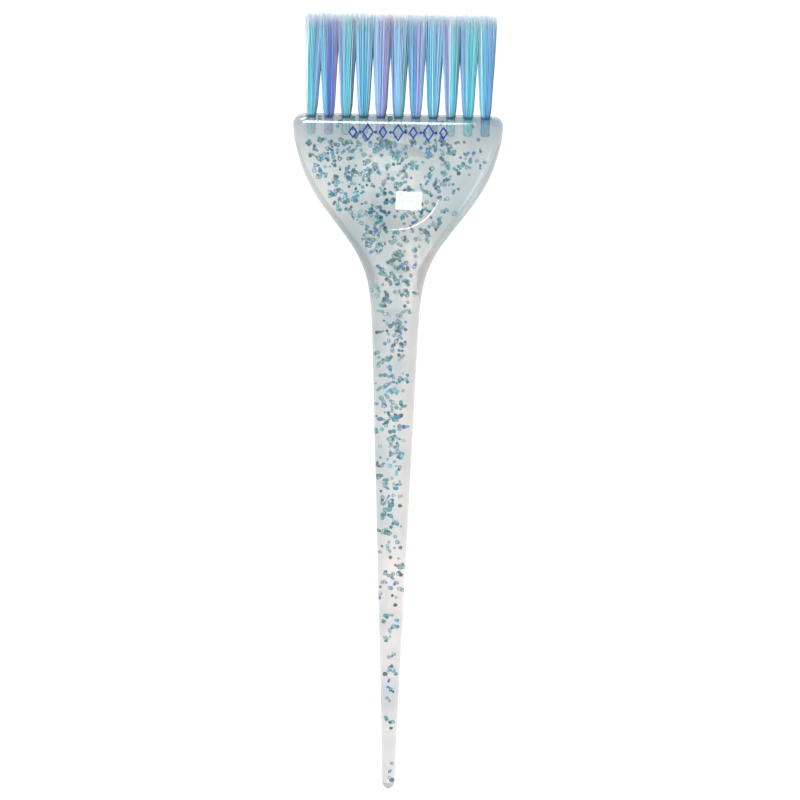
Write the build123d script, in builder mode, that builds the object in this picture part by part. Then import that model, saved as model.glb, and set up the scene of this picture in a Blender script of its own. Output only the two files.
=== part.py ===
import os
from math import cos, radians, sin, sqrt

from build123d import *

os.makedirs("parts", exist_ok=True)

# Tint brush: a wide colouring brush for hair salons. One clear moulded body
# (tufting head, thumb dimple, handle and sectioning tail) carries two rows of
# eleven bristle tufts. Each tuft is folded in half over a flat wire anchor and
# driven into a blind hole in the top of the head.
#
# Frame: the tail tip is at the origin, +Z runs up the handle to the bristle
# tips, -Y is the face with the thumb dimple, +Y is the plain flat back, and
# X is the width of the head. Millimetres.

# ---------------------------------------------------------------- dimensions
mouth_z = 194.6        # top face of the head, where the tufts come out
tip_z = 223.8          # bristle tips
free_len = tip_z - mouth_z

head_w = 60.1          # widest part of the head, at the shoulders
head_t = 10.0          # moulded thickness of the head before its faces are flatted
flat_t = 9.9           # thickness between the flat front and the flat back
edge_r = 3.2           # roundness of the long edges of head and handle
shoulder_r = 2.8       # round at the two upper corners, seen from the front
lip_y = 1.1            # the front and back top edges roll over by this much inwards
lip_z = 2.3            # and by this much in height
shoulder_z = mouth_z - shoulder_r

dimple_z = 174.8       # centre of the thumb dimple
dimple_d = 25.0        # dimple diameter at the face
dimple_depth = 2.0

tuft_cols = 11
tuft_pitch = 4.96      # from tuft to tuft along the head
row_y = 2.1            # each row's distance from the middle plane
hole_r = 1.3
hole_depth = 5.6
hole_csk_r = 1.65      # countersunk mouth of each hole

root_r = 1.2           # bundle radius where it leaves the hole
tip_rx = 2.38          # bundle half-width at the tips, along the row
tip_ry = 1.7           # bundle half-depth at the tips, across the row

fold_gap = 0.1         # between the folded root and the free length above it
anchor_len = 2.9       # wire anchor, across the hole: bites 0.15 mm into each wall
anchor_wire = 0.35     # wire thickness
anchor_h = 1.6         # wire height
anchor_z = 189.95      # lower edge of the wire
anchor_gap = 0.03      # clearance between wire and fold

col_x = [(i - (tuft_cols - 1) / 2) * tuft_pitch for i in range(tuft_cols)]

# Handle and head outline: height, width, thickness.
outline = [
    (2.2, 3.90, 3.45),
    (12.1, 4.45, 3.85),
    (20.2, 4.95, 4.15),
    (29.2, 5.50, 4.45),
    (46.3, 6.85, 5.00),
    (63.5, 8.15, 5.50),
    (80.6, 9.45, 5.95),
    (98.7, 10.90, 6.35),
    (115.9, 12.15, 6.70),
    (131.0, 13.30, 7.05),
    (139.0, 14.20, 7.45),
    (144.1, 15.45, 7.95),
    (148.6, 17.50, 8.60),
    (152.6, 20.60, 9.30),
    (156.2, 24.40, 9.80),
    (159.7, 29.30, 10.0),
    (163.2, 34.60, 10.0),
    (166.7, 40.00, 10.0),
    (170.3, 45.20, 10.0),
    (174.3, 50.00, 10.0),
    (178.3, 53.90, 10.0),
    (183.4, 57.20, 10.0),
    (188.4, 59.50, 10.0),
    (shoulder_z, head_w, head_t),
]
tail_z = outline[0][0]  # the tail is rounded off below this height
tail_round = [          # height and fraction of the tail section, down to a blunt tip
    (0.0, 0.24),
    (0.15, 0.36),
    (0.43, 0.52),
    (0.75, 0.67),
    (1.10, 0.80),
    (1.60, 0.92),
    (tail_z, 1.0),
]
body_steps = 31         # sections between the tail and the shoulders


def smooth(column, height):
    """Value of an outline column at a height, on a curve with no overshoot."""
    zs = [row[0] for row in outline]
    vs = [row[column] for row in outline]
    slope = [(vs[i + 1] - vs[i]) / (zs[i + 1] - zs[i]) for i in range(len(zs) - 1)]
    tangent = [slope[0]]
    for low, high in zip(slope, slope[1:]):
        tangent.append(0.0 if low * high <= 0 else 2 * low * high / (low + high))
    tangent.append(slope[-1])
    i = max(k for k in range(len(zs) - 1) if zs[k] <= height + 1e-9)
    step = zs[i + 1] - zs[i]
    u = (height - zs[i]) / step
    return (
        vs[i] * (1 + 2 * u) * (1 - u) ** 2
        + tangent[i] * step * u * (1 - u) ** 2
        + vs[i + 1] * u * u * (3 - 2 * u)
        + tangent[i + 1] * step * u * u * (u - 1)
    )


def corner(width, thick):
    """Corner radius of a section: nearly full round on the slim handle."""
    return min(edge_r, 0.46 * min(width, thick))


# --------------------------------------------------------------- handle body
with BuildPart() as handle:
    # handle, neck and flared head, through evenly spaced sections
    for k in range(body_steps):
        z = tail_z + (shoulder_z - tail_z) * k / (body_steps - 1)
        w, t = smooth(1, z), smooth(2, z)
        with BuildSketch(Plane.XY.offset(z)):
            RectangleRounded(w, t, corner(w, t))
    loft()
    # rounded end of the tail, down to a small flat at the very tip
    for z, grow in tail_round:
        w, t = outline[0][1] * grow, outline[0][2] * grow
        with BuildSketch(Plane.XY.offset(z)):
            RectangleRounded(w, t, corner(w, t))
    loft(ruled=True)
    # the top of the head rolls over to a narrower flat land around the holes
    for a in (0, 15, 30, 45, 58, 70, 80, 90):
        z = shoulder_z + shoulder_r * sin(radians(a))
        side = shoulder_r * (1 - cos(radians(a)))
        rise = max(0.0, z - (mouth_z - lip_z)) / lip_z
        lip = lip_y * (1 - sqrt(max(0.0, 1 - rise**2)))
        with BuildSketch(Plane.XY.offset(z)):
            RectangleRounded(head_w - 2 * side, head_t - 2 * lip, edge_r - lip / 2)
    loft(ruled=True)
    # true flats on the front and the back of the head
    Box(2 * head_w, flat_t, 2 * tip_z, mode=Mode.INTERSECT)
    # thumb dimple in the front face
    ball_r = ((dimple_d / 2) ** 2 + dimple_depth**2) / (2 * dimple_depth)
    with Locations((0, -(flat_t / 2 + ball_r - dimple_depth), dimple_z)):
        Sphere(ball_r, mode=Mode.SUBTRACT)
    # blind tuft holes with countersunk mouths
    with Locations([(x, y, mouth_z) for x in col_x for y in (-row_y, row_y)]):
        CounterSinkHole(hole_r, hole_csk_r, hole_depth, counter_sink_angle=90)
handle.part.label = "handle"
export_step(handle.part, "parts/handle.step")

# ------------------------------------------------------- free bristle bundles
# Each bundle starts as a round root centred on the mouth of its hole and fans
# out to an oval brush end. Below the mouth it ends in a half ball, so that the
# bundle can lean forward and back in the countersink.
bundle = [
    (0.0, root_r, root_r),
    (0.8, 1.35, 1.25),
    (2.5, 1.65, 1.40),
    (5.5, 1.90, 1.52),
    (9.5, 2.12, 1.61),
    (15.0, 2.30, 1.67),
    (free_len, tip_rx, tip_ry),
]

for row_name, y in (("front", -row_y), ("back", row_y)):
    for i, x in enumerate(col_x, start=1):
        with BuildPart() as tuft:
            for h, rx, ry in bundle:
                with BuildSketch(Plane((x, y, mouth_z + h), x_dir=(1, 0, 0), z_dir=(0, 0, 1))):
                    Ellipse(rx, ry)
            loft(ruled=True)
            with Locations((x, y, mouth_z)):
                Sphere(root_r, arc_size1=-90, arc_size2=0)
        name = f"tuft_{row_name}_{i:02d}"
        tuft.part.label = name
        export_step(tuft.part, f"parts/{name}.step")

# --------------------------------------------------------------- folded roots
# The lower part of each bundle stays in its hole, bent like a hairpin around
# the wire anchor.
fold_bottom = mouth_z - hole_depth + 0.05
fold_top = mouth_z - root_r - fold_gap

for row_name, y in (("front", -row_y), ("back", row_y)):
    with BuildPart() as folds:
        with Locations([(x, y, fold_bottom + root_r) for x in col_x]):
            Sphere(root_r)
            Cylinder(
                root_r,
                fold_top - fold_bottom - root_r,
                align=(Align.CENTER, Align.CENTER, Align.MIN),
            )
        with Locations([(x, y, anchor_z - anchor_gap) for x in col_x]):
            Box(
                anchor_wire + 2 * anchor_gap,
                3 * root_r,
                anchor_h + 2 * anchor_gap,
                align=(Align.CENTER, Align.CENTER, Align.MIN),
                mode=Mode.SUBTRACT,
            )
    name = f"tuft_folds_{row_name}"
    folds.part.label = name
    export_step(folds.part, f"parts/{name}.step")

# --------------------------------------------------------------- wire anchors
# One flat wire per tuft, pressed across the hole through the hairpin.
with BuildPart() as staple_anchors:
    with Locations([(x, y, anchor_z) for x in col_x for y in (-row_y, row_y)]):
        Box(
            anchor_wire,
            anchor_len,
            anchor_h,
            align=(Align.CENTER, Align.CENTER, Align.MIN),
        )
staple_anchors.part.label = "staple_anchors"
export_step(staple_anchors.part, "parts/staple_anchors.step")
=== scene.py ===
"""Tint brush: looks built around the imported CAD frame. Metres, +Z from the tail to the bristle tips, -Y is the
face with the thumb dimple."""
import math

import bpy
import numpy as np
from mathutils import Matrix, Vector, geometry


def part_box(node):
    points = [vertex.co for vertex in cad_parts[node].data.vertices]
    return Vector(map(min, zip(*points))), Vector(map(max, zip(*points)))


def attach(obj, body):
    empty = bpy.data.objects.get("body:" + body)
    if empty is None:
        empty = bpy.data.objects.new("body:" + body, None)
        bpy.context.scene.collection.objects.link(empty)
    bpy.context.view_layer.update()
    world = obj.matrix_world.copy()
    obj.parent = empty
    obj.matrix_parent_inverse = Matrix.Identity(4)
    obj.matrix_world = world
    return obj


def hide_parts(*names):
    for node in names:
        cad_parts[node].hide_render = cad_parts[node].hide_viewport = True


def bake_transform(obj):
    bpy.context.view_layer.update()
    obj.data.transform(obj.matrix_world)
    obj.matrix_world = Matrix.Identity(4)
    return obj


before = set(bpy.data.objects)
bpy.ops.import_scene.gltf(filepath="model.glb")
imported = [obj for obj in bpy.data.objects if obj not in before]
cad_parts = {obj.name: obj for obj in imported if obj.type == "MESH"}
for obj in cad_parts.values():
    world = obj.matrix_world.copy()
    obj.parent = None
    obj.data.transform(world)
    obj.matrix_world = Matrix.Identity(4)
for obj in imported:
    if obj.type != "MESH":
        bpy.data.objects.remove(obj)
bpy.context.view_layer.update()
MM = 0.001

# ------------------------------------------------------------------ sizes read from the frame, in millimetres
handle_low, handle_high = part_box("handle")
MOUTH = handle_high.z / MM
HEAD_W = (handle_high.x - handle_low.x) / MM
HALF_T = handle_high.y / MM
tuft_low, tuft_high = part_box("tuft_front_06")
TIP = tuft_high.z / MM
ROW_Y = abs(tuft_low.y + tuft_high.y) / 2 / MM
anchor_low, anchor_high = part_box("staple_anchors")
ANCHOR_LOW, ANCHOR_HIGH = anchor_low.z / MM, anchor_high.z / MM
COLS = []
for i in range(1, 12):
    lo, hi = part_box(f"tuft_front_{i:02d}")
    COLS.append((lo.x + hi.x) / 2 / MM)
FREE = TIP - MOUTH
HOLE_R, HOLE_DEEP, CSK_R = 1.3, 5.6, 1.65
SHOULDER_R, LIP_Y, LIP_Z, EDGE_R = 2.8, 1.06, 2.3, 3.2
SHOULDER = MOUTH - SHOULDER_R
DIMPLE_Z, DIMPLE_R, DIMPLE_DEEP = 174.8, 12.4, 2.0

# ------------------------------------------------------------------ camera
VIEW_MM = 229.2  # what the frame takes in at the brush
DIST = 2.4
ELEV = math.radians(7.0)
ROLL = math.radians(0.87)
aim = Vector((1.69 * MM, 0.0, 112.7 * MM))
cam_data = bpy.data.cameras.new("camera")
cam = bpy.data.objects.new("camera", cam_data)
bpy.context.scene.collection.objects.link(cam)
cam_data.sensor_width = 36.0
cam_data.lens = 36.0 * DIST / (VIEW_MM * MM)
cam_data.clip_start, cam_data.clip_end = 0.05, 50.0
back = Vector((0.0, -math.cos(ELEV), math.sin(ELEV)))
right = Vector((1.0, 0.0, 0.0))
up = back.cross(right)
right_r = right * math.cos(ROLL) + up * math.sin(ROLL)
up_r = up * math.cos(ROLL) - right * math.sin(ROLL)
cam.matrix_world = Matrix.Translation(aim + back * DIST) @ Matrix(
    (
        (right_r.x, up_r.x, back.x, 0),
        (right_r.y, up_r.y, back.y, 0),
        (right_r.z, up_r.z, back.z, 0),
        (0, 0, 0, 1),
    )
)
bpy.context.scene.camera = cam


# ------------------------------------------------------------------ helpers
def mesh_object(name, verts_mm, faces, smooth=True):
    mesh = bpy.data.meshes.new(name)
    mesh.from_pydata([tuple(v) for v in (np.asarray(verts_mm) * MM)], [], faces)
    mesh.validate()
    mesh.update()
    if smooth:
        mesh.polygons.foreach_set("use_smooth", [True] * len(mesh.polygons))
    obj = bpy.data.objects.new(name, mesh)
    bpy.context.scene.collection.objects.link(obj)
    return obj


def fast_mesh(name, verts_mm, quads, tris=None, colours=None, smooth=True):
    """A mesh from arrays: quads (n, 4), tris (m, 3), one colour per vertex."""
    verts = np.ascontiguousarray(np.asarray(verts_mm, np.float32) * MM)
    quads = np.asarray(quads, np.int32).reshape(-1, 4)
    tris = np.zeros((0, 3), np.int32) if tris is None else np.asarray(tris, np.int32).reshape(-1, 3)
    loops = np.concatenate([quads.ravel(), tris.ravel()])
    starts = np.concatenate([np.arange(len(quads)) * 4, len(quads) * 4 + np.arange(len(tris)) * 3])
    mesh = bpy.data.meshes.new(name)
    mesh.vertices.add(len(verts))
    mesh.vertices.foreach_set("co", verts.ravel())
    mesh.loops.add(len(loops))
    mesh.loops.foreach_set("vertex_index", loops.astype(np.int32))
    mesh.polygons.add(len(starts))
    mesh.polygons.foreach_set("loop_start", starts.astype(np.int32))
    mesh.update(calc_edges=True)
    mesh.validate()
    mesh.polygons.foreach_set("use_smooth", np.full(len(mesh.polygons), smooth, bool))
    if colours is not None:
        layer = mesh.color_attributes.new("piece_colour", "FLOAT_COLOR", "POINT")
        rgba = np.ones((len(verts), 4), np.float32)
        rgba[:, :3] = colours
        layer.data.foreach_set("color", rgba.ravel())
    obj = bpy.data.objects.new(name, mesh)
    bpy.context.scene.collection.objects.link(obj)
    return obj


def linear(rgb255):
    c = np.asarray(rgb255, float) / 255.0
    return np.where(c <= 0.04045, c / 12.92, ((c + 0.055) / 1.055) ** 2.4)


def hermite(table, column, at):
    """Smooth value with no overshoot from a table of (position, value, ...) rows."""
    zs = np.array([row[0] for row in table], float)
    vs = np.array([row[column] for row in table], float)
    at = np.clip(np.asarray(at, float), zs[0], zs[-1])
    slope = np.diff(vs) / np.diff(zs)
    tangent = np.zeros(len(zs))
    tangent[0], tangent[-1] = slope[0], slope[-1]
    for k in range(1, len(zs) - 1):
        a, b = slope[k - 1], slope[k]
        tangent[k] = 0.0 if a * b <= 0 else 2 * a * b / (a + b)
    i = np.clip(np.searchsorted(zs, at, side="right") - 1, 0, len(zs) - 2)
    step = zs[i + 1] - zs[i]
    u = (at - zs[i]) / step
    return (
        vs[i] * (1 + 2 * u) * (1 - u) ** 2
        + tangent[i] * step * u * (1 - u) ** 2
        + vs[i + 1] * u * u * (3 - 2 * u)
        + tangent[i + 1] * step * u * u * (u - 1)
    )


# ------------------------------------------------------------------ materials
def new_material(name):
    mat = bpy.data.materials.new(name)
    mat.use_nodes = True
    tree = mat.node_tree
    return mat, tree, tree.nodes["Principled BSDF"]


def add(tree, kind, **settings):
    node = tree.nodes.new(kind)
    for key, value in settings.items():
        if key in node.inputs.keys():
            node.inputs[key].default_value = value
        else:
            setattr(node, key, value)
    return node


def acrylic_material():
    """Clear moulded acrylic, faintly warm, with the soft waviness and flow haze of a thick moulding, and painted light
    and shade graded along its height and across its sides.
    """
    mat, tree, bsdf = new_material("clear_acrylic_look")
    bsdf.inputs["Transmission Weight"].default_value = 0.97
    bsdf.inputs["IOR"].default_value = 1.42
    side = add(tree, "ShaderNodeNewGeometry")
    outer = add(tree, "ShaderNodeMath", operation="SUBTRACT")
    outer.inputs[0].default_value = 1.0
    tree.links.new(side.outputs["Backfacing"], outer.inputs[1])
    tree.links.new(outer.outputs["Value"], bsdf.inputs["Coat Weight"])
    bsdf.inputs["Coat Roughness"].default_value = 0.03
    bsdf.inputs["Coat IOR"].default_value = 1.55
    where = add(tree, "ShaderNodeTexCoord")
    stretch = add(tree, "ShaderNodeMapping")
    stretch.inputs["Scale"].default_value = (1.0, 1.0, 0.6)
    tree.links.new(where.outputs["Object"], stretch.inputs["Vector"])
    cloud = add(tree, "ShaderNodeTexNoise", Scale=90.0, Detail=3.0, Roughness=0.5)
    tree.links.new(stretch.outputs["Vector"], cloud.inputs["Vector"])
    split = add(tree, "ShaderNodeSeparateXYZ")
    tree.links.new(where.outputs["Object"], split.inputs["Vector"])
    rise = add(tree, "ShaderNodeMapRange")
    rise.inputs["From Min"].default_value = 0.0
    rise.inputs["From Max"].default_value = 0.2
    tree.links.new(split.outputs["Z"], rise.inputs["Value"])
    # painted light and shade: the body's colour is graded along its height from the table below
    tint = add(tree, "ShaderNodeValToRGB")
    ramp = tint.color_ramp
    ramp.elements[0].position, ramp.elements[1].position = 0.0, 1.0
    ramp.elements[0].color = (*ACRYLIC_TINT_PAINTED_LIGHT_AND_SHADE[0][1], 1)
    ramp.elements[1].color = (*ACRYLIC_TINT_PAINTED_LIGHT_AND_SHADE[-1][1], 1)
    for height, colour in ACRYLIC_TINT_PAINTED_LIGHT_AND_SHADE[1:-1]:
        ramp.elements.new(height / 0.2).color = (*colour, 1)
    tree.links.new(rise.outputs["Result"], tint.inputs["Fac"])
    # painted light: the right side of the handle below the head is painted lighter and warmer; the glitter also thins
    # out on that side
    right = add(tree, "ShaderNodeMapRange")
    right.inputs["From Min"].default_value = 0.0012
    right.inputs["From Max"].default_value = 0.0042
    tree.links.new(split.outputs["X"], right.inputs["Value"])
    below = add(tree, "ShaderNodeMapRange")
    below.inputs["From Min"].default_value = 0.140
    below.inputs["From Max"].default_value = 0.160
    below.inputs["To Min"].default_value = 1.0
    below.inputs["To Max"].default_value = 0.0
    tree.links.new(split.outputs["Z"], below.inputs["Value"])
    warm = add(tree, "ShaderNodeMath", operation="MULTIPLY")
    tree.links.new(right.outputs["Result"], warm.inputs[0])
    tree.links.new(below.outputs["Result"], warm.inputs[1])
    mix = add(tree, "ShaderNodeMix", data_type="RGBA")
    mix.inputs["B"].default_value = (*ACRYLIC_PAINTED_LIGHT_SIDE, 1)
    tree.links.new(warm.outputs["Value"], mix.inputs["Factor"])
    tree.links.new(tint.outputs["Color"], mix.inputs["A"])
    # painted shade: the left side of the handle, from about 40 to 160 mm up, is painted darker and cooler
    left = add(tree, "ShaderNodeMapRange")
    left.inputs["From Min"].default_value = -0.0005
    left.inputs["From Max"].default_value = -0.0048
    left.inputs["To Max"].default_value = 0.65
    tree.links.new(split.outputs["X"], left.inputs["Value"])
    above = add(tree, "ShaderNodeMapRange")
    above.inputs["From Min"].default_value = 0.040
    above.inputs["From Max"].default_value = 0.075
    tree.links.new(split.outputs["Z"], above.inputs["Value"])
    span = add(tree, "ShaderNodeMath", operation="MULTIPLY")
    tree.links.new(below.outputs["Result"], span.inputs[0])
    tree.links.new(above.outputs["Result"], span.inputs[1])
    painted_left_shade_mask = add(tree, "ShaderNodeMath", operation="MULTIPLY")
    tree.links.new(left.outputs["Result"], painted_left_shade_mask.inputs[0])
    tree.links.new(span.outputs["Value"], painted_left_shade_mask.inputs[1])
    painted_left_shade = add(tree, "ShaderNodeMix", data_type="RGBA")
    painted_left_shade.inputs["B"].default_value = (*ACRYLIC_SHADE, 1)
    tree.links.new(painted_left_shade_mask.outputs["Value"], painted_left_shade.inputs["Factor"])
    tree.links.new(mix.outputs["Result"], painted_left_shade.inputs["A"])
    # cloudy flow marks
    patch = add(tree, "ShaderNodeMapRange")
    patch.inputs["From Min"].default_value = 0.36
    patch.inputs["From Max"].default_value = 0.64
    tree.links.new(cloud.outputs["Fac"], patch.inputs["Value"])
    flow = add(tree, "ShaderNodeMix", data_type="RGBA")
    flow.inputs["A"].default_value = (0.74, 0.82, 0.85, 1)
    flow.inputs["B"].default_value = (1.16, 1.08, 1.04, 1)
    tree.links.new(patch.outputs["Result"], flow.inputs["Factor"])
    shade = add(tree, "ShaderNodeVectorMath", operation="MULTIPLY")
    tree.links.new(painted_left_shade.outputs["Result"], shade.inputs[0])
    tree.links.new(flow.outputs["Result"], shade.inputs[1])
    tree.links.new(shade.outputs["Vector"], bsdf.inputs["Base Color"])
    rough = add(tree, "ShaderNodeMapRange")
    rough.inputs["To Min"].default_value = 0.025
    rough.inputs["To Max"].default_value = 0.06
    tree.links.new(cloud.outputs["Fac"], rough.inputs["Value"])
    tree.links.new(rough.outputs["Result"], bsdf.inputs["Roughness"])
    wave = add(tree, "ShaderNodeTexNoise", Scale=160.0, Detail=2.0)
    tree.links.new(stretch.outputs["Vector"], wave.inputs["Vector"])
    bump = add(tree, "ShaderNodeBump", Strength=0.06, Distance=0.0004)
    tree.links.new(wave.outputs["Fac"], bump.inputs["Height"])
    tree.links.new(bump.outputs["Normal"], bsdf.inputs["Normal"])
    return mat


def bore_material():
    """The walls of the tuft holes, wetted by the packed bristles: almost no edge of their own."""
    mat, tree, bsdf = new_material("bore_wall_look")
    bsdf.inputs["Transmission Weight"].default_value = 1.0
    bsdf.inputs["IOR"].default_value = 1.08
    where = add(tree, "ShaderNodeTexCoord")
    cloud = add(tree, "ShaderNodeTexNoise", Scale=600.0, Detail=2.0)
    tree.links.new(where.outputs["Object"], cloud.inputs["Vector"])
    tint = add(tree, "ShaderNodeValToRGB")
    tint.color_ramp.elements[0].color = (0.93, 0.96, 0.97, 1)
    tint.color_ramp.elements[1].color = (1.0, 1.0, 1.0, 1)
    tree.links.new(cloud.outputs["Fac"], tint.inputs["Fac"])
    tree.links.new(tint.outputs["Color"], bsdf.inputs["Base Color"])
    bsdf.inputs["Roughness"].default_value = 0.1
    return mat


def bristle_material(name="bristle_look", glow=0.0):
    """Soft nylon filament: each has its own colour, with fine length-wise variation and a satin sheen."""
    mat, tree, bsdf = new_material(name)
    colour = add(tree, "ShaderNodeVertexColor", layer_name="piece_colour")
    where = add(tree, "ShaderNodeTexCoord")
    stretch = add(tree, "ShaderNodeMapping")
    stretch.inputs["Scale"].default_value = (1.0, 1.0, 0.06)
    tree.links.new(where.outputs["Object"], stretch.inputs["Vector"])
    streak = add(tree, "ShaderNodeTexNoise", Scale=3500.0, Detail=2.0)
    tree.links.new(stretch.outputs["Vector"], streak.inputs["Vector"])
    level = add(tree, "ShaderNodeMapRange")
    level.inputs["To Min"].default_value = 0.86
    level.inputs["To Max"].default_value = 1.12
    tree.links.new(streak.outputs["Fac"], level.inputs["Value"])
    shade = add(tree, "ShaderNodeVectorMath", operation="SCALE")
    tree.links.new(colour.outputs["Color"], shade.inputs[0])
    tree.links.new(level.outputs["Result"], shade.inputs["Scale"])
    tree.links.new(shade.outputs["Vector"], bsdf.inputs["Base Color"])
    rough = add(tree, "ShaderNodeMapRange")
    rough.inputs["To Min"].default_value = 0.28
    rough.inputs["To Max"].default_value = 0.48
    tree.links.new(streak.outputs["Fac"], rough.inputs["Value"])
    tree.links.new(rough.outputs["Result"], bsdf.inputs["Roughness"])
    bsdf.inputs["IOR"].default_value = 1.5
    bsdf.inputs["Sheen Weight"].default_value = 0.15
    bsdf.inputs["Sheen Roughness"].default_value = 0.4
    if glow:  # painted light: a faint glow in the filament's own colour, so the roots read lit inside their holes
        tree.links.new(colour.outputs["Color"], bsdf.inputs["Emission Color"])
        bsdf.inputs["Emission Strength"].default_value = glow
    return mat


def glitter_material():
    """Metallised film flakes, each with its own colour and a painted highlight on its centre."""
    mat, tree, bsdf = new_material("glitter_look")
    colour = add(tree, "ShaderNodeVertexColor", layer_name="piece_colour")
    where = add(tree, "ShaderNodeTexCoord")
    grain = add(tree, "ShaderNodeTexNoise", Scale=2600.0, Detail=2.0)
    tree.links.new(where.outputs["Object"], grain.inputs["Vector"])
    level = add(tree, "ShaderNodeMapRange")
    level.inputs["To Min"].default_value = 0.75
    level.inputs["To Max"].default_value = 1.25
    tree.links.new(grain.outputs["Fac"], level.inputs["Value"])
    shade = add(tree, "ShaderNodeVectorMath", operation="SCALE")
    tree.links.new(colour.outputs["Color"], shade.inputs[0])
    tree.links.new(level.outputs["Result"], shade.inputs["Scale"])
    tree.links.new(shade.outputs["Vector"], bsdf.inputs["Base Color"])
    bsdf.inputs["Metallic"].default_value = 0.2
    bsdf.inputs["Specular IOR Level"].default_value = 0.25
    rough = add(tree, "ShaderNodeMapRange")
    rough.inputs["To Min"].default_value = 0.18
    rough.inputs["To Max"].default_value = 0.38
    tree.links.new(grain.outputs["Fac"], rough.inputs["Value"])
    tree.links.new(rough.outputs["Result"], bsdf.inputs["Roughness"])
    return mat


def ink_material():
    mat, tree, bsdf = new_material("ink_look")
    where = add(tree, "ShaderNodeTexCoord")
    grain = add(tree, "ShaderNodeTexNoise", Scale=1800.0, Detail=3.0)
    tree.links.new(where.outputs["Object"], grain.inputs["Vector"])
    ramp = add(tree, "ShaderNodeValToRGB")
    ramp.color_ramp.elements[0].color = (*linear((4, 30, 110)), 1)
    ramp.color_ramp.elements[1].color = (*linear((14, 50, 150)), 1)
    tree.links.new(grain.outputs["Fac"], ramp.inputs["Fac"])
    tree.links.new(ramp.outputs["Color"], bsdf.inputs["Base Color"])
    bsdf.inputs["Roughness"].default_value = 0.45
    bsdf.inputs["Specular IOR Level"].default_value = 0.2
    return mat


def wire_material():
    mat, tree, bsdf = new_material("anchor_wire_look")
    where = add(tree, "ShaderNodeTexCoord")
    drawn = add(tree, "ShaderNodeMapping")
    drawn.inputs["Scale"].default_value = (1.0, 0.05, 1.0)
    tree.links.new(where.outputs["Object"], drawn.inputs["Vector"])
    grain = add(tree, "ShaderNodeTexNoise", Scale=9000.0, Detail=3.0)
    tree.links.new(drawn.outputs["Vector"], grain.inputs["Vector"])
    ramp = add(tree, "ShaderNodeValToRGB")
    ramp.color_ramp.elements[0].color = (*linear((172, 168, 152)), 1)
    ramp.color_ramp.elements[1].color = (*linear((214, 210, 194)), 1)
    tree.links.new(grain.outputs["Fac"], ramp.inputs["Fac"])
    tree.links.new(ramp.outputs["Color"], bsdf.inputs["Base Color"])
    rough = add(tree, "ShaderNodeMapRange")
    rough.inputs["To Min"].default_value = 0.25
    rough.inputs["To Max"].default_value = 0.5
    tree.links.new(grain.outputs["Fac"], rough.inputs["Value"])
    tree.links.new(rough.outputs["Result"], bsdf.inputs["Roughness"])
    bsdf.inputs["Metallic"].default_value = 1.0
    return mat


ACRYLIC_TINT_PAINTED_LIGHT_AND_SHADE = [  # height in metres, colour: the acrylic's grey tint with painted light and shade along the height, painted shade in the neck and a dark painted band across the top
    (0.000, (0.605, 0.580, 0.575)),
    (0.060, (0.600, 0.585, 0.580)),
    (0.100, (0.545, 0.560, 0.562)),
    (0.132, (0.510, 0.535, 0.540)),
    (0.150, (0.350, 0.400, 0.405)),
    (0.163, (0.420, 0.465, 0.462)),
    (0.172, (0.545, 0.590, 0.595)),
    (0.181, (0.510, 0.560, 0.565)),
    (0.189, (0.395, 0.455, 0.475)),
    (0.1925, (0.34, 0.42, 0.45)),
    (0.1938, (0.21, 0.31, 0.36)),
    (0.200, (0.25, 0.36, 0.41)),
]
# painted light on the right side of the handle
ACRYLIC_PAINTED_LIGHT_SIDE = (0.650, 0.605, 0.590)
# painted shade on the left side of the handle
ACRYLIC_SHADE = (0.380, 0.440, 0.450)
acrylic, bristle_mat, glitter_mat, ink_mat, wire_mat = (
    acrylic_material(),
    bristle_material(),
    glitter_material(),
    ink_material(),
    wire_material(),
)

# ------------------------------------------------------------------ the clear body
OUTLINE = [  # height, width, thickness
    (2.2, 3.90, 3.45),
    (12.1, 4.45, 3.85),
    (20.2, 4.95, 4.15),
    (29.2, 5.50, 4.45),
    (46.3, 6.85, 5.00),
    (63.5, 8.15, 5.50),
    (80.6, 9.45, 5.95),
    (98.7, 10.90, 6.35),
    (115.9, 12.15, 6.70),
    (131.0, 13.30, 7.05),
    (139.0, 14.20, 7.45),
    (144.1, 15.45, 7.95),
    (148.6, 17.50, 8.60),
    (152.6, 20.60, 9.30),
    (156.2, 24.40, 9.72),
    (159.7, 29.30, 9.90),
    (163.2, 34.60, 9.90),
    (166.7, 40.00, 9.90),
    (170.3, 45.20, 9.90),
    (174.3, 50.00, 9.90),
    (178.3, 53.90, 9.90),
    (183.4, 57.20, 9.90),
    (188.4, 59.50, 9.90),
    (SHOULDER, HEAD_W, 9.90),
]
TAIL = OUTLINE[0][0]
N_FRONT, N_BACK, N_ARC = 170, 44, 10


def ring(z, half_w, half_t, r):
    """Section points, counter-clockwise from above, starting at the left end of the front face."""
    r = min(r, 0.94 * half_w, 0.94 * half_t)
    ax, ay = half_w - r, half_t - r
    pts = []
    s = np.linspace(-1, 1, N_FRONT + 1)[:-1]
    pts.append(np.c_[s * ax, np.full(len(s), -half_t)])
    for cx, cy, a0, n in ((ax, -ay, -90, N_ARC), (ax, ay, 0, N_ARC)):
        a = np.radians(a0 + 90 * np.arange(n) / n)
        pts.append(np.c_[cx + r * np.cos(a), cy + r * np.sin(a)])
    s = np.linspace(1, -1, N_BACK + 1)[:-1]
    pts.append(np.c_[s * ax, np.full(len(s), half_t)])
    for cx, cy, a0, n in ((-ax, ay, 90, N_ARC), (-ax, -ay, 180, N_ARC)):
        a = np.radians(a0 + 90 * np.arange(n) / n)
        pts.append(np.c_[cx + r * np.cos(a), cy + r * np.sin(a)])
    p = np.concatenate(pts)
    return np.c_[p, np.full(len(p), z)]


def corner_r(w, t):
    return min(EDGE_R, 0.46 * min(w, t))


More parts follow.
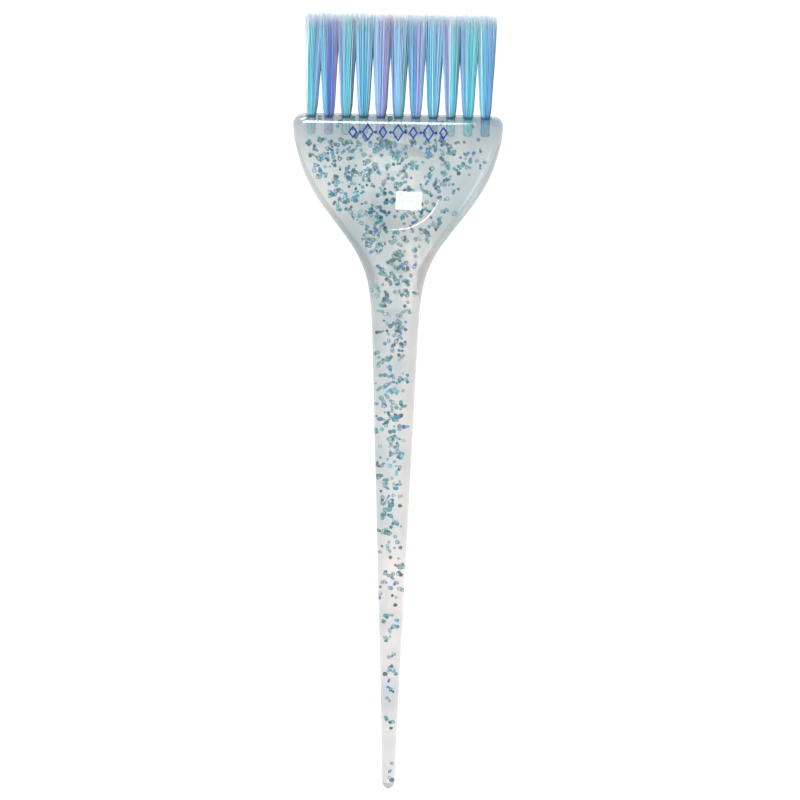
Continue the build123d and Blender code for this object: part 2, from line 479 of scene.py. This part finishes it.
heights = np.concatenate(
    [
        np.linspace(TAIL, 12.0, 8)[:-1],
        np.linspace(12.0, 131.0, 54)[:-1],
        np.linspace(131.0, 158.2, 44)[:-1],
        np.linspace(158.2, 189.6, 96)[:-1],
        np.linspace(189.6, SHOULDER, 6),
    ]
)
rings = []
for f in (0.10, 0.20, 0.32, 0.44, 0.56, 0.68, 0.78, 0.87, 0.94, 0.985):
    z = TAIL * (1 - math.sqrt(1 - f * f))
    w, t = OUTLINE[0][1] * f, OUTLINE[0][2] * f
    rings.append(ring(z, w / 2, t / 2, corner_r(w, t)))
for z in heights:
    w, t = float(hermite(OUTLINE, 1, z)), float(hermite(OUTLINE, 2, z))
    rings.append(ring(z, w / 2, t / 2, corner_r(w, t)))
for a in np.radians(np.linspace(0, 90, 19)[1:]):
    z = SHOULDER + SHOULDER_R * math.sin(a)
    side = SHOULDER_R * (1 - math.cos(a))
    rise = max(0.0, z - (MOUTH - LIP_Z)) / LIP_Z
    lip = LIP_Y * (1 - math.sqrt(max(0.0, 1 - rise**2)))
    rings.append(ring(z, HEAD_W / 2 - side, HALF_T - lip, EDGE_R - lip / 2))
shell = np.concatenate(rings)
n_ring, n_pts = len(rings), len(rings[0])

# the thumb dimple: a shallow ball-shaped hollow with a softened rim
ball = (DIMPLE_R**2 + DIMPLE_DEEP**2) / (2 * DIMPLE_DEEP)
front = (shell[:, 1] < -HALF_T + 0.02) & (shell[:, 2] > 150)
far = np.hypot(shell[:, 0], shell[:, 2] - DIMPLE_Z)
level = np.sqrt(np.clip(ball**2 - far**2, 1.0, None)) - math.sqrt(ball**2 - DIMPLE_R**2)
soft = 0.04
shell[:, 1] += np.where(front, 0.5 * (level + np.sqrt(level**2 + soft**2)) * np.clip((20 - far) / 5, 0, 1), 0.0)

k = np.arange(n_ring - 1)[:, None] * n_pts
j = np.arange(n_pts)[None, :]
j2 = (j + 1) % n_pts
quads = np.stack([k + j, k + j2, k + n_pts + j2, k + n_pts + j], -1).reshape(-1, 4)
verts = [shell]
tris = []
# blunt tail end
base = len(shell)
verts.append(np.array([[0.0, 0.0, 0.0]]))
tris += [[base, (m + 1) % n_pts, m] for m in range(n_pts)]
count = base + 1
# land around the holes, then the holes themselves
N_HOLE = 40
profile = [
    (CSK_R, 0.0),
    (1.60, -0.015),
    (1.54, -0.065),
    (1.46, -0.15),
    (1.38, -0.25),
    (1.325, -0.36),
    (HOLE_R, -0.52),
    (HOLE_R, -1.6),
    (HOLE_R, -3.2),
    (HOLE_R, -4.9),
    (1.27, -5.2),
    (1.15, -5.43),
    (0.9, -5.57),
    (0.5, -HOLE_DEEP),
]
angles = np.arange(N_HOLE) * 2 * math.pi / N_HOLE
land = shell[(n_ring - 1) * n_pts :]
points_2d = [Vector((p[0], p[1])) for p in land]
ids = list(range((n_ring - 1) * n_pts, n_ring * n_pts))
edges_2d = [(m, (m + 1) % n_pts) for m in range(n_pts)]
centres = [(x, y) for x in COLS for y in (-ROW_Y, ROW_Y)]
for cx, cy in centres:
    start_2d = len(points_2d)
    for depth_index, (r, dz) in enumerate(profile):
        verts.append(np.c_[cx + r * np.cos(angles), cy + r * np.sin(angles), np.full(N_HOLE, MOUTH + dz)])
        if depth_index:
            a = count + (depth_index - 1) * N_HOLE
            m = np.arange(N_HOLE)
            m2 = (m + 1) % N_HOLE
            quads = np.concatenate([quads, np.stack([a + m, a + N_HOLE + m, a + N_HOLE + m2, a + m2], -1)])
    verts.append(np.array([[cx, cy, MOUTH - HOLE_DEEP]]))
    last = count + (len(profile) - 1) * N_HOLE
    tris += [[last + m, last + N_HOLE, last + (m + 1) % N_HOLE] for m in range(N_HOLE)]
    for m in range(N_HOLE):
        points_2d.append(Vector((cx + CSK_R * math.cos(angles[m]), cy + CSK_R * math.sin(angles[m]))))
        ids.append(count + m)
        edges_2d.append((start_2d + m, start_2d + (m + 1) % N_HOLE))
    count += len(profile) * N_HOLE + 1
found = geometry.delaunay_2d_cdt(points_2d, edges_2d, [], 0, 1e-7, True)
new_pts, new_faces, origin = found[0], found[2], found[3]
assert len(new_pts) == len(points_2d), (len(new_pts), len(points_2d))
lookup = [ids[o[0]] for o in origin]
for face in new_faces:
    c = sum((new_pts[v] for v in face), Vector((0, 0))) / len(face)
    if any((c.x - cx) ** 2 + (c.y - cy) ** 2 < (CSK_R * 0.995) ** 2 for cx, cy in centres):
        continue
    a, b, d = (new_pts[v] for v in face)
    turn = (b - a).cross(d - a)
    if abs(turn) < 1e-9:
        continue
    tris.append([lookup[v] for v in (face if turn > 0 else face[::-1])])
handle = fast_mesh("acrylic_handle", np.concatenate(verts), quads, tris)
handle.data.materials.append(acrylic)
handle.data.materials.append(bore_material())
middle = np.zeros(len(handle.data.polygons) * 3, np.float32)
handle.data.polygons.foreach_get("center", middle)
middle = middle.reshape(-1, 3) / MM
bore = np.zeros(len(middle), bool)
for cx, cy in centres:
    bore |= (np.hypot(middle[:, 0] - cx, middle[:, 1] - cy) < 1.55) & (middle[:, 2] < MOUTH - 0.15)
bore &= middle[:, 2] > MOUTH - HOLE_DEEP - 0.1
handle.data.polygons.foreach_set("material_index", bore.astype(np.int32))
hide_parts("handle")
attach(handle, "handle")


# ------------------------------------------------------------------ glitter inside the body
rng = np.random.default_rng(4242)


def body_half(z):
    return float(hermite(OUTLINE, 1, z)) / 2, float(hermite(OUTLINE, 2, z)) / 2


def inside(x, y, z, gap):
    """True if a flake at this point stays clear of every wall of the body by the gap."""
    if z < TAIL or z > MOUTH - gap - 0.2:
        return False
    half_w, half_t = body_half(min(z, SHOULDER))
    half_t = min(half_t, HALF_T)
    if z > MOUTH - LIP_Z - 0.5:
        half_t -= 0.9
        half_w -= 1.2
    r = corner_r(2 * half_w, 2 * half_t)
    qx, qy = abs(x) - (half_w - r), abs(y) - (half_t - r)
    outer = math.hypot(max(qx, 0), max(qy, 0)) + min(max(qx, qy), 0) - r
    if outer > -gap:
        return False
    d = math.hypot(x, z - DIMPLE_Z)
    if d < DIMPLE_R + 1:
        deep = math.sqrt(ball**2 - min(d, DIMPLE_R) ** 2) - math.sqrt(ball**2 - DIMPLE_R**2)
        if y < -HALF_T + deep + gap:
            return False
    if z > MOUTH - HOLE_DEEP - gap:
        for cx in COLS:
            for cy in (-ROW_Y, ROW_Y):
                if math.hypot(x - cx, y - cy) < (1.72 if z > MOUTH - 0.9 else HOLE_R) + gap:
                    return False
    return True


FLAKE_COLOURS = [  # share, colour
    (0.20, (0, 104, 114)),
    (0.08, (0, 84, 96)),
    (0.25, (8, 144, 156)),
    (0.16, (30, 120, 196)),
    (0.11, (0, 154, 142)),
    (0.16, (54, 178, 206)),
    (0.04, (60, 108, 200)),
]
FLAKE_GAIN = 1.3
shares = np.array([s for s, _ in FLAKE_COLOURS])
shares = shares / shares.sum()


def density(x, z):
    """How likely a flake is at this place: crowded in the middle of the head, thinner to the edges and the tail."""
    if z > 150:
        half_w, _ = body_half(min(z, SHOULDER))
        across = abs(x + 1.0) / half_w
        lean = 1.0 - 0.010 * x + 0.012 * (z - 170)
        return min(1.0, 0.85 * lean * (1.0 - 0.62 * min(1.0, across) ** 2.4) * (0.8 if z > 187 else 1.0))
    half_w, _ = body_half(z)
    along = (x + half_w) / (2 * half_w)
    side = 1.0 if along < 0.72 else max(0.06, 1.0 - (along - 0.72) / 0.10)
    fade = 0.75 if z > 75 else 0.75 * (0.60 + 0.40 * (z / 75.0) ** 1.2)
    return side * fade


# volume-weighted heights so that the density is per volume
zs = np.linspace(TAIL + 0.5, MOUTH - 1, 800)
area = np.array([4 * np.prod(body_half(min(z, SHOULDER))) for z in zs])
cdf = np.cumsum(area)
cdf /= cdf[-1]
TARGET = 1330
# normals that throw the front softbox back at a viewer in front
GLINT = np.array([-0.045, -1.0, 0.06])
flakes = []


def try_flake(x, y, z):
    size = rng.choice([0.38, 0.48, 0.58, 0.68], p=[0.22, 0.36, 0.28, 0.14])
    half_w = body_half(min(z, SHOULDER))[0]
    edge = 3.3 if z > 166 else (4.2 if z > 146 else (2.0 if z > 80 else 0.8))
    if x < 0 and z < 146:
        edge = min(edge, 1.2)
    if not inside(x, y, z, 0.8 if z > 80 else 0.45) or ((y > -1.0 or z > 146) and abs(x) > half_w - edge) or abs(x) > half_w - (1.0 if z > 80 else 0.6):
        return False
    colour = rng.choice(len(FLAKE_COLOURS), p=shares)
    if rng.random() < 0.70:
        n = GLINT + rng.normal(size=3) * 0.14
    else:
        n = np.array([0, -1.0, 0]) + rng.normal(size=3) * 0.36
    n /= np.linalg.norm(n)
    flakes.append((x, y, z, size, n, colour, rng.uniform(0, math.pi)))
    return True


while len(flakes) < TARGET:
    z = float(np.interp(rng.random(), cdf, zs))
    half_w, half_t = body_half(min(z, SHOULDER))
    x, y = rng.uniform(-half_w, half_w), rng.uniform(-half_t, half_t if z > 158 else 0.15 * half_t)
    boost = 1.0 if z > 160 else (1.5 if z > 128 else 1.9)
    if rng.random() > density(x, z) * boost / 1.9 or not try_flake(x, y, z):
        continue
    for _ in range(rng.choice([0, 1, 2], p=[0.5, 0.32, 0.18])):
        away = rng.uniform(0, 2 * math.pi)
        far_off = rng.uniform(0.5, 0.95)
        try_flake(x + far_off * math.cos(away), y + rng.normal() * 0.3, z + far_off * math.sin(away))

fv, ft, fc = [], [], []
hexagon = np.arange(6) * math.pi / 3
DOME = 0.12  # each flake is pressed slightly hollow, so it catches a light over part of its face
# painted highlights: glint colours for the centres of the flakes
PAINTED_GLINT_COLOURS = np.array([linear(c) for c in ((232, 252, 252), (170, 240, 246), (120, 214, 226), (150, 196, 240))])
PALE = linear((136, 168, 176))
for x, y, z, size, n, colour, spin in flakes:
    u = np.cross(n, [0.3, 0.1, 0.95])
    u /= np.linalg.norm(u)
    v = np.cross(n, u)
    ring = np.cos(hexagon + spin)[:, None] * u + np.sin(hexagon + spin)[:, None] * v
    off = (u * rng.uniform(-1, 1) + v * rng.uniform(-1, 1)) * 0.20 * size
    inner = ring * size * 0.24 + off
    b = len(fv) * 26
    drop = DOME * size * n
    face = np.concatenate([[off], inner - 0.12 * drop, ring * size - drop])
    fv.append(np.concatenate([face + n * 0.01, face - n * 0.01]) + [x, y, z])
    for m in range(6):
        k = (m + 1) % 6
        ft += [[b, b + 1 + m, b + 1 + k], [b + 1 + m, b + 7 + m, b + 7 + k], [b + 1 + m, b + 7 + k, b + 1 + k]]
        ft += [[b + 13, b + 14 + k, b + 14 + m], [b + 14 + m, b + 20 + k, b + 20 + m], [b + 14 + m, b + 14 + k, b + 20 + k]]
    rim = linear(FLAKE_COLOURS[colour][1]) * FLAKE_GAIN * rng.uniform(0.75, 1.2)
    # painted highlight: a lighter centre on every flake, with a near-white glint painted on about half of them
    centre_highlight = rim * 1.3
    if rng.random() < 0.55:
        centre_highlight, rim = PAINTED_GLINT_COLOURS[rng.choice(4, p=[0.22, 0.36, 0.32, 0.10])] * 1.9, rim * 0.92
    if y > 0.5:  # deeper flakes are veiled by the haze of the moulding
        veil = 0.45 * min(1.0, y / 3.0)
        rim, centre_highlight = rim + (PALE * 1.6 - rim) * veil, centre_highlight + (rim - centre_highlight) * min(1.0, 1.7 * veil)
    c = np.concatenate([np.tile(centre_highlight, (7, 1)), np.tile(rim, (6, 1))])
    fc.append(np.minimum(0.95, np.concatenate([c, c])))
glitter = fast_mesh("glitter_flakes", np.concatenate(fv), np.zeros((0, 4), int), ft, np.concatenate(fc))
glitter.data.materials.append(glitter_mat)
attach(glitter, "handle")

# ------------------------------------------------------------------ bristles
HALF_X = [  # height over the mouth, half-width of the bundle along the row, half-depth across it
    (-1.0, 1.16, 1.16),
    (-0.4, 1.20, 1.18),
    (0.0, 1.30, 1.24),
    (0.5, 1.44, 1.32),
    (1.2, 1.56, 1.40),
    (2.3, 1.66, 1.48),
    (5.0, 1.80, 1.56),
    (8.8, 1.98, 1.64),
    (13.0, 2.22, 1.74),
    (17.0, 2.46, 1.84),
    (22.0, 2.66, 1.94),
    (31.0, 2.90, 2.10),
]
PALETTE = [  # share, colour
    (0.17, (136, 204, 228)),
    (0.19, (98, 192, 220)),
    (0.13, (112, 170, 216)),
    (0.11, (150, 176, 218)),
    (0.05, (160, 148, 206)),
    (0.08, (72, 120, 198)),
    (0.12, (104, 206, 214)),
    (0.06, (204, 232, 240)),
    (0.09, (84, 142, 176)),
]
# the folded roots carry a faint painted glow
root_mat = bristle_material("bristle_root_look", 0.22)
p_share = np.array([s for s, _ in PALETTE])
p_share = p_share / p_share.sum()
p_rgb = np.array([linear(c) for _, c in PALETTE])
STREAK = {
    "A": (96, 204, 216),
    "a": (158, 224, 230),
    "L": (140, 194, 228),
    "B": (98, 152, 210),
    "D": (74, 112, 196),
    "K": (72, 112, 150),
    "V": (160, 162, 216),
    "P": (164, 140, 196),
    "C": (92, 182, 216),
    "T": (112, 170, 178),
    "W": (206, 228, 240),
}
STREAKS = {  # the run of colours across each tuft of the front row, from -X to +X; the dark slate K and T that close most runs are painted shade on the side away from the light
    1: "WAPBBK",
    2: "CBDDAT",
    3: "VLAACK",
    4: "LCCCLK",
    5: "aLVVPK",
    6: "BWVLVT",
    7: "CBVVLP",
    8: "VDCCLT",
    9: "VLVWAT",
    10: "BAACAB",
    11: "aAACBA",
}
PAIRS = 92  # filament pairs in each tuft: one filament is bent in half round the wire
FIL_R = 0.088
LEAN = {1: 0.70, 2: -0.45, 3: 0.05, 4: -0.10, 6: 0.12, 8: 0.12, 9: -0.18, 11: 0.05}  # how far some tufts lean sideways at the tips


def tubes(centres, radii, sides, colours, flat_rings=True, axes=None):
    """Closed tubes round many centre lines at once. centres (n, rings, 3), radii (n, rings), colours (n, rings, 3)."""
    n, m, _ = centres.shape
    a = np.arange(sides) * 2 * math.pi / sides
    if axes is None:
        off = np.stack([np.cos(a), np.sin(a), np.zeros(sides)], -1)[None, None] * radii[..., None, None]
    else:
        e1, e2 = axes
        off = (e1[:, :, None] * np.cos(a)[None, None, :, None] + e2[:, :, None] * np.sin(a)[None, None, :, None]) * radii[..., None, None]
    v = (centres[:, :, None] + off).reshape(n * m * sides, 3)
    c = np.repeat(colours.reshape(n * m, 3), sides, 0)
    base = (np.arange(n) * m * sides)[:, None, None]
    r = (np.arange(m - 1) * sides)[None, :, None]
    s = np.arange(sides)[None, None]
    s2 = (s + 1) % sides
    q = np.stack([base + r + s, base + r + s2, base + r + sides + s2, base + r + sides + s], -1).reshape(-1, 4)
    t = []
    b0 = (np.arange(n) * m * sides)[:, None]
    for w in range(1, sides - 1):
        t.append(np.concatenate([b0, b0 + w + 1, b0 + w], 1))
        top = b0 + (m - 1) * sides
        t.append(np.concatenate([top, top + w, top + w + 1], 1))
    return v, q, np.concatenate(t), c


def join(parts):
    v, q, t, c, n = [], [], [], [], 0
    for pv, pq, pt, pc in parts:
        v.append(pv)
        q.append(pq + n)
        t.append(pt + n)
        c.append(pc)
        n += len(pv)
    return np.concatenate(v), np.concatenate(q), np.concatenate(t), np.concatenate(c)


def build_tuft(number, x0, y0, seed, front):
    """Filament positions, colours and meshes of one tuft: the free length, and the folded root in its hole."""
    g = np.random.default_rng(seed)
    # right half of the bundle; the left half is its mirror image, because each filament is bent over the wire
    i = np.arange(PAIRS) + 0.5
    rho = np.sqrt(i / PAIRS)
    phi = (i * 2.399963 * 0.5) % math.pi - math.pi / 2
    px, py = rho * np.cos(phi), rho * np.sin(phi)
    px = np.abs(px + g.normal(0, 0.03, PAIRS))
    py = py + g.normal(0, 0.03, PAIRS)
    over = np.hypot(px, py)
    px, py = np.where(over > 1, px / over, px), np.where(over > 1, py / over, py)
    ux, uy = np.concatenate([px, -px]), np.concatenate([py, py])
    n = 2 * PAIRS
    # clumps of one colour
    K = 11
    ka, kr = g.uniform(0, 2 * math.pi, K), np.sqrt(g.uniform(0.05, 1, K))
    kx, ky = kr * np.cos(ka), kr * np.sin(ka)
    near = np.hypot(ux[:, None] - kx, (uy[:, None] - ky) * 0.7).argmin(1)
    k_rgb = p_rgb[g.choice(len(PALETTE), K, p=p_share)]
    if front:
        run = STREAKS[number]
        for m in range(K):
            if g.random() < 0.85:
                letter = run[min(len(run) - 1, max(0, int((kx[m] * 1.08 + 1) / 2 * len(run))))]
                k_rgb[m] = linear(STREAK[letter])
    own = g.random(n) < 0.80
    colour = np.where(own[:, None], k_rgb[near], p_rgb[g.choice(len(PALETTE), n, p=p_share)])
    colour = colour * g.uniform(0.86, 1.10, (n, 1))
    colour = colour * (1 - 0.34 * np.clip((ux - 0.62) / 0.3, 0, 1))[:, None]  # the side away from the key light
    # free length
    top = FREE - 0.75 + np.clip(g.normal(-0.1, 0.45, n), -2.4, 0.75)
    split = g.uniform(0.86, 0.97, n)
    rings_main = 15
    s = np.linspace(0, 1, rings_main)
    h = -1.0 + (top[:, None] * split[:, None] + 1.0) * s[None] ** 1.15
    bow_x, bow_y = g.normal(0, 0.06, n), g.normal(0, 0.08, n)
    drift_x, drift_y = g.normal(0, 0.10, n), g.normal(0, 0.10, n)
    round_off = np.hypot(ux, uy) + 1e-9
    square = (np.abs(ux / round_off) ** 4 + np.abs(uy / round_off) ** 4) ** -0.25
    lean = LEAN.get(number, 0.0) + g.normal(0, 0.10)

    def place(h):
        u = np.clip(h / FREE, 0, 1.1)
        wx, wy = hermite(HALF_X, 1, h), hermite(HALF_X, 2, h)
        pull = 0.16 * np.sin(math.pi * np.clip(u, 0, 1)) * (1 - np.abs(ux)[:, None] ** 3)
        boxy = 1 + (square[:, None] - 1) * np.clip(h / 4.0, 0, 1)
        cx = ux[:, None] * boxy * (1 - pull) + kx[near][:, None] * pull
        cy = uy[:, None] * boxy * (1 - pull) + ky[near][:, None] * pull
        x = x0 + wx * cx + bow_x[:, None] * np.sin(math.pi * u) * u**0.4 + (drift_x[:, None] + lean) * u**1.4
        y = y0 + wy * cy + bow_y[:, None] * np.sin(math.pi * u) * u**0.4 + drift_y[:, None] * u**1.4
        return np.stack([x, y, MOUTH + h], -1)

    centres = place(h)
    radii = FIL_R * (1 - 0.20 * np.clip(h / FREE, 0, 1)) * (1 - 0.45 * s[None] ** 6)
    tone = np.clip(h / FREE, 0, 1)[..., None]
    # painted shade: the filaments are darker over their first 5 mm above the mouth, where the bundle shades itself
    painted_base_shade = 0.80 + 0.20 * np.clip(h / 5.0, 0, 1)[..., None]
    c = colour[:, None] * painted_base_shade
    c = c + (0.94 - c) * 0.26 * tone**2.6
    parts = [tubes(centres, radii, 5, c)]
    # feathered end: each filament splits into finer hairs that taper out
    rings_hair = 6
    s = np.linspace(0, 1, rings_hair)
    for hair in range(2):
        end = top + g.normal(0.1, 0.45, n) - 0.25 * hair
        h0 = top * split - 0.6
        hh = h0[:, None] + (end - h0)[:, None] * s[None]
        p = place(hh)
        a = hair * 2.094 + g.uniform(0, 2.094, n)
        spread = (0.03 + (0.06 + g.uniform(0, 0.12, n))[:, None] * s[None] ** 1.5)
        p[..., 0] += np.cos(a)[:, None] * spread
        p[..., 1] += np.sin(a)[:, None] * spread
        r = 0.036 * (1 - 0.72 * s[None] ** 1.5) * np.ones((n, 1))
        c = colour[:, None] * np.ones((1, rings_hair, 1))
        c = c + (0.97 - c) * (0.20 + 0.60 * s[None, :, None] ** 1.5)
        parts.append(tubes(p, r, 3, c))
    free = join(parts)
    # folded root: down one side, round under the wire, and up the other side
    legs_h = np.array([-0.95, -1.7, -2.7, -3.6, -4.25])
    keep = (0.27 + px * (1.16 - 0.27 - 0.0)) / 1.0
    line = []
    yy = y0 + 1.14 * py
    for hh in legs_h:
        blend_in = np.clip((-hh - 1.2) / 1.6, 0, 1)
        x = 1.16 * px * (1 - blend_in) + keep * blend_in
        x = np.minimum(x, 1.17 * np.sqrt(np.clip(1 - (0.98 * py) ** 2, 0.04, 1)))
        line.append(np.stack([x0 + x, yy, np.full(PAIRS, MOUTH + hh)], -1))
    a_wide = line[-1][:, 0] - x0
    low = (MOUTH - 4.25) - (ANCHOR_LOW - FIL_R - 0.03)
    deep = low + 0.72 * np.clip((a_wide - 0.27) / 0.9, 0, 1)
    loop = []
    for a in np.radians([22, 45, 68, 90, 112, 135, 158]):
        loop.append(np.stack([x0 + a_wide * math.cos(a), yy, MOUTH - 4.25 - deep * math.sin(a)], -1))
    mirror = []
    for p in line[::-1]:
        q = p.copy()
        q[:, 0] = 2 * x0 - q[:, 0]
        mirror.append(q)
    path = np.stack(line + loop + mirror, 1)
    tangent = np.gradient(path, axis=1)
    tangent /= np.linalg.norm(tangent, axis=-1, keepdims=True)
    e2 = np.zeros_like(tangent)
    e2[..., 1] = 1
    e1 = np.cross(e2, tangent)
    e1 /= np.linalg.norm(e1, axis=-1, keepdims=True)
    # painted light: the root colours are brightened 1.8 times and paled towards white, strongly for tufts 1 to 9 and
    # slightly for 10 and 11, so the roots read lit through the plastic
    painted_pale_veil = 0.12 if number >= 10 else 0.50
    root_painted_light_colour = np.minimum(0.95, 1.8 * colour[:PAIRS])
    root_painted_light_colour = (root_painted_light_colour + (0.95 - root_painted_light_colour) * painted_pale_veil)[:, None] * np.ones((1, path.shape[1], 1))
    root = tubes(path, np.full(path.shape[:2], FIL_R), 4, root_painted_light_colour, axes=(e1, e2))
    return free, root


for row, sign in (("front", -1), ("back", 1)):
    roots = []
    for number, x0 in enumerate(COLS, start=1):
        free, root = build_tuft(number, x0, sign * ROW_Y, 1000 * (1 if row == "front" else 2) + number, row == "front")
        obj = fast_mesh(f"filaments_{row}_{number:02d}", *free)
        obj.data.materials.append(bristle_mat)
        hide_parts(f"tuft_{row}_{number:02d}")
        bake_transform(obj)
        roots.append(root)
    obj = fast_mesh(f"folded_roots_{row}", *join(roots))
    obj.data.materials.append(root_mat)
    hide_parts(f"tuft_folds_{row}")
    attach(obj, "handle")

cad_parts["staple_anchors"].data.materials.clear()
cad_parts["staple_anchors"].data.materials.append(wire_mat)


# ------------------------------------------------------------------ printed ornament on the head
def ribbon(points, width, closed):
    """A flat printed line in the XZ plane through these points, mitred at the corners."""
    p = np.array(points, float)
    n = len(p)
    left, rightside = [], []
    for m in range(n):
        before = p[(m - 1) % n] if closed or m else p[m] * 2 - p[m + 1]
        after = p[(m + 1) % n] if closed or m < n - 1 else p[m] * 2 - p[m - 1]
        d1, d2 = p[m] - before, after - p[m]
        d1, d2 = d1 / np.linalg.norm(d1), d2 / np.linalg.norm(d2)
        n1, n2 = np.array([-d1[1], d1[0]]), np.array([-d2[1], d2[0]])
        mid = n1 + n2
        mid = mid / max(1e-6, mid @ mid) * 2
        left.append(p[m] + mid * width / 2)
        rightside.append(p[m] - mid * width / 2)
    return left, rightside


ink_v, ink_q = [], []


def print_ribbon(points, width, closed=True):
    left, rightside = ribbon(points, width, closed)
    n = len(left)
    b = len(ink_v)
    lift, deep = HALF_T + 0.025, HALF_T + 0.004
    for l, r in zip(left, rightside):
        ink_v.extend([(l[0], -lift, l[1]), (r[0], -lift, r[1]), (r[0], -deep, r[1]), (l[0], -deep, l[1])])
    for m in range(n if closed else n - 1):
        a, c = b + 4 * m, b + 4 * ((m + 1) % n)
        for e in range(4):
            f = (e + 1) % 4
            ink_q.append([a + e, a + f, c + f, c + e])
    if not closed:
        ink_q.append([b + 3, b + 2, b + 1, b])
        e = b + 4 * (n - 1)
        ink_q.append([e, e + 1, e + 2, e + 3])


PRINT_Z = MOUTH - 4.55
for m in range(-3, 4):
    cx = m * 4.3
    tall, wide = (2.25, 1.5) if m % 2 == 0 else (1.55, 1.05)
    print_ribbon([(cx - wide, PRINT_Z), (cx, PRINT_Z + tall), (cx + wide, PRINT_Z), (cx, PRINT_Z - tall)], 0.40)
    if m < 3:
        mx = cx + 2.15
        print_ribbon([(mx - 0.3, PRINT_Z), (mx, PRINT_Z + 0.3), (mx + 0.3, PRINT_Z), (mx, PRINT_Z - 0.3)], 0.34)
ink = fast_mesh("printed_ornament", ink_v, ink_q, smooth=False)
ink.data.materials.append(ink_mat)
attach(ink, "handle")

# ------------------------------------------------------------------ floor, world, light
scene = bpy.context.scene
bpy.ops.mesh.primitive_plane_add(size=300, location=(0, 0, -0.0002))
floor = bpy.context.object
floor.name = "floor"
fmat, ftree, fbsdf = new_material("floor_look")
fbsdf.inputs["Base Color"].default_value = (0.5, 0.5, 0.5, 1)
fbsdf.inputs["Roughness"].default_value = 0.9
fbsdf.inputs["Specular IOR Level"].default_value = 0.1
fbsdf.inputs["Emission Color"].default_value = (1, 1, 1, 1)
fbsdf.inputs["Emission Strength"].default_value = 0.74
floor.data.materials.append(fmat)

world = bpy.data.worlds.new("studio")
scene.world = world
world.use_nodes = True
sky = world.node_tree.nodes["Background"]
sky.inputs["Strength"].default_value = 1.0
# dimmer in front of the brush, lighter behind it
toward = add(world.node_tree, "ShaderNodeTexCoord")
apart = add(world.node_tree, "ShaderNodeSeparateXYZ")
world.node_tree.links.new(toward.outputs["Generated"], apart.inputs["Vector"])
level = add(world.node_tree, "ShaderNodeMapRange")
level.inputs["From Min"].default_value = -0.5
level.inputs["From Max"].default_value = 0.1
level.inputs["To Min"].default_value = 0.5
level.inputs["To Max"].default_value = 0.92
world.node_tree.links.new(apart.outputs["Y"], level.inputs["Value"])
world.node_tree.links.new(level.outputs["Result"], sky.inputs["Color"])


def area(name, place, target, size_x, size_y, power, colour=(1, 1, 1)):
    data = bpy.data.lights.new(name, "AREA")
    data.shape = "RECTANGLE"
    data.size, data.size_y = size_x, size_y
    data.energy = power
    data.color = colour
    obj = bpy.data.objects.new(name, data)
    scene.collection.objects.link(obj)
    obj.location = place
    obj.rotation_euler = (Vector(target) - Vector(place)).to_track_quat("-Z", "Y").to_euler()
    obj.visible_camera = False
    return obj


area("softbox_front", (-0.2725, -1.6, 0.372), (0, 0, 0.20), 0.615, 0.420, 8.2)
area("softbox_top", (-0.60, -0.75, 1.15), (0, 0, 0.17), 1.0, 0.6, 17)

scene.view_settings.view_transform = "Standard"
scene.view_settings.look = "None"
scene.cycles.use_denoising = True
scene.cycles.max_bounces = 16
scene.cycles.transmission_bounces = 16
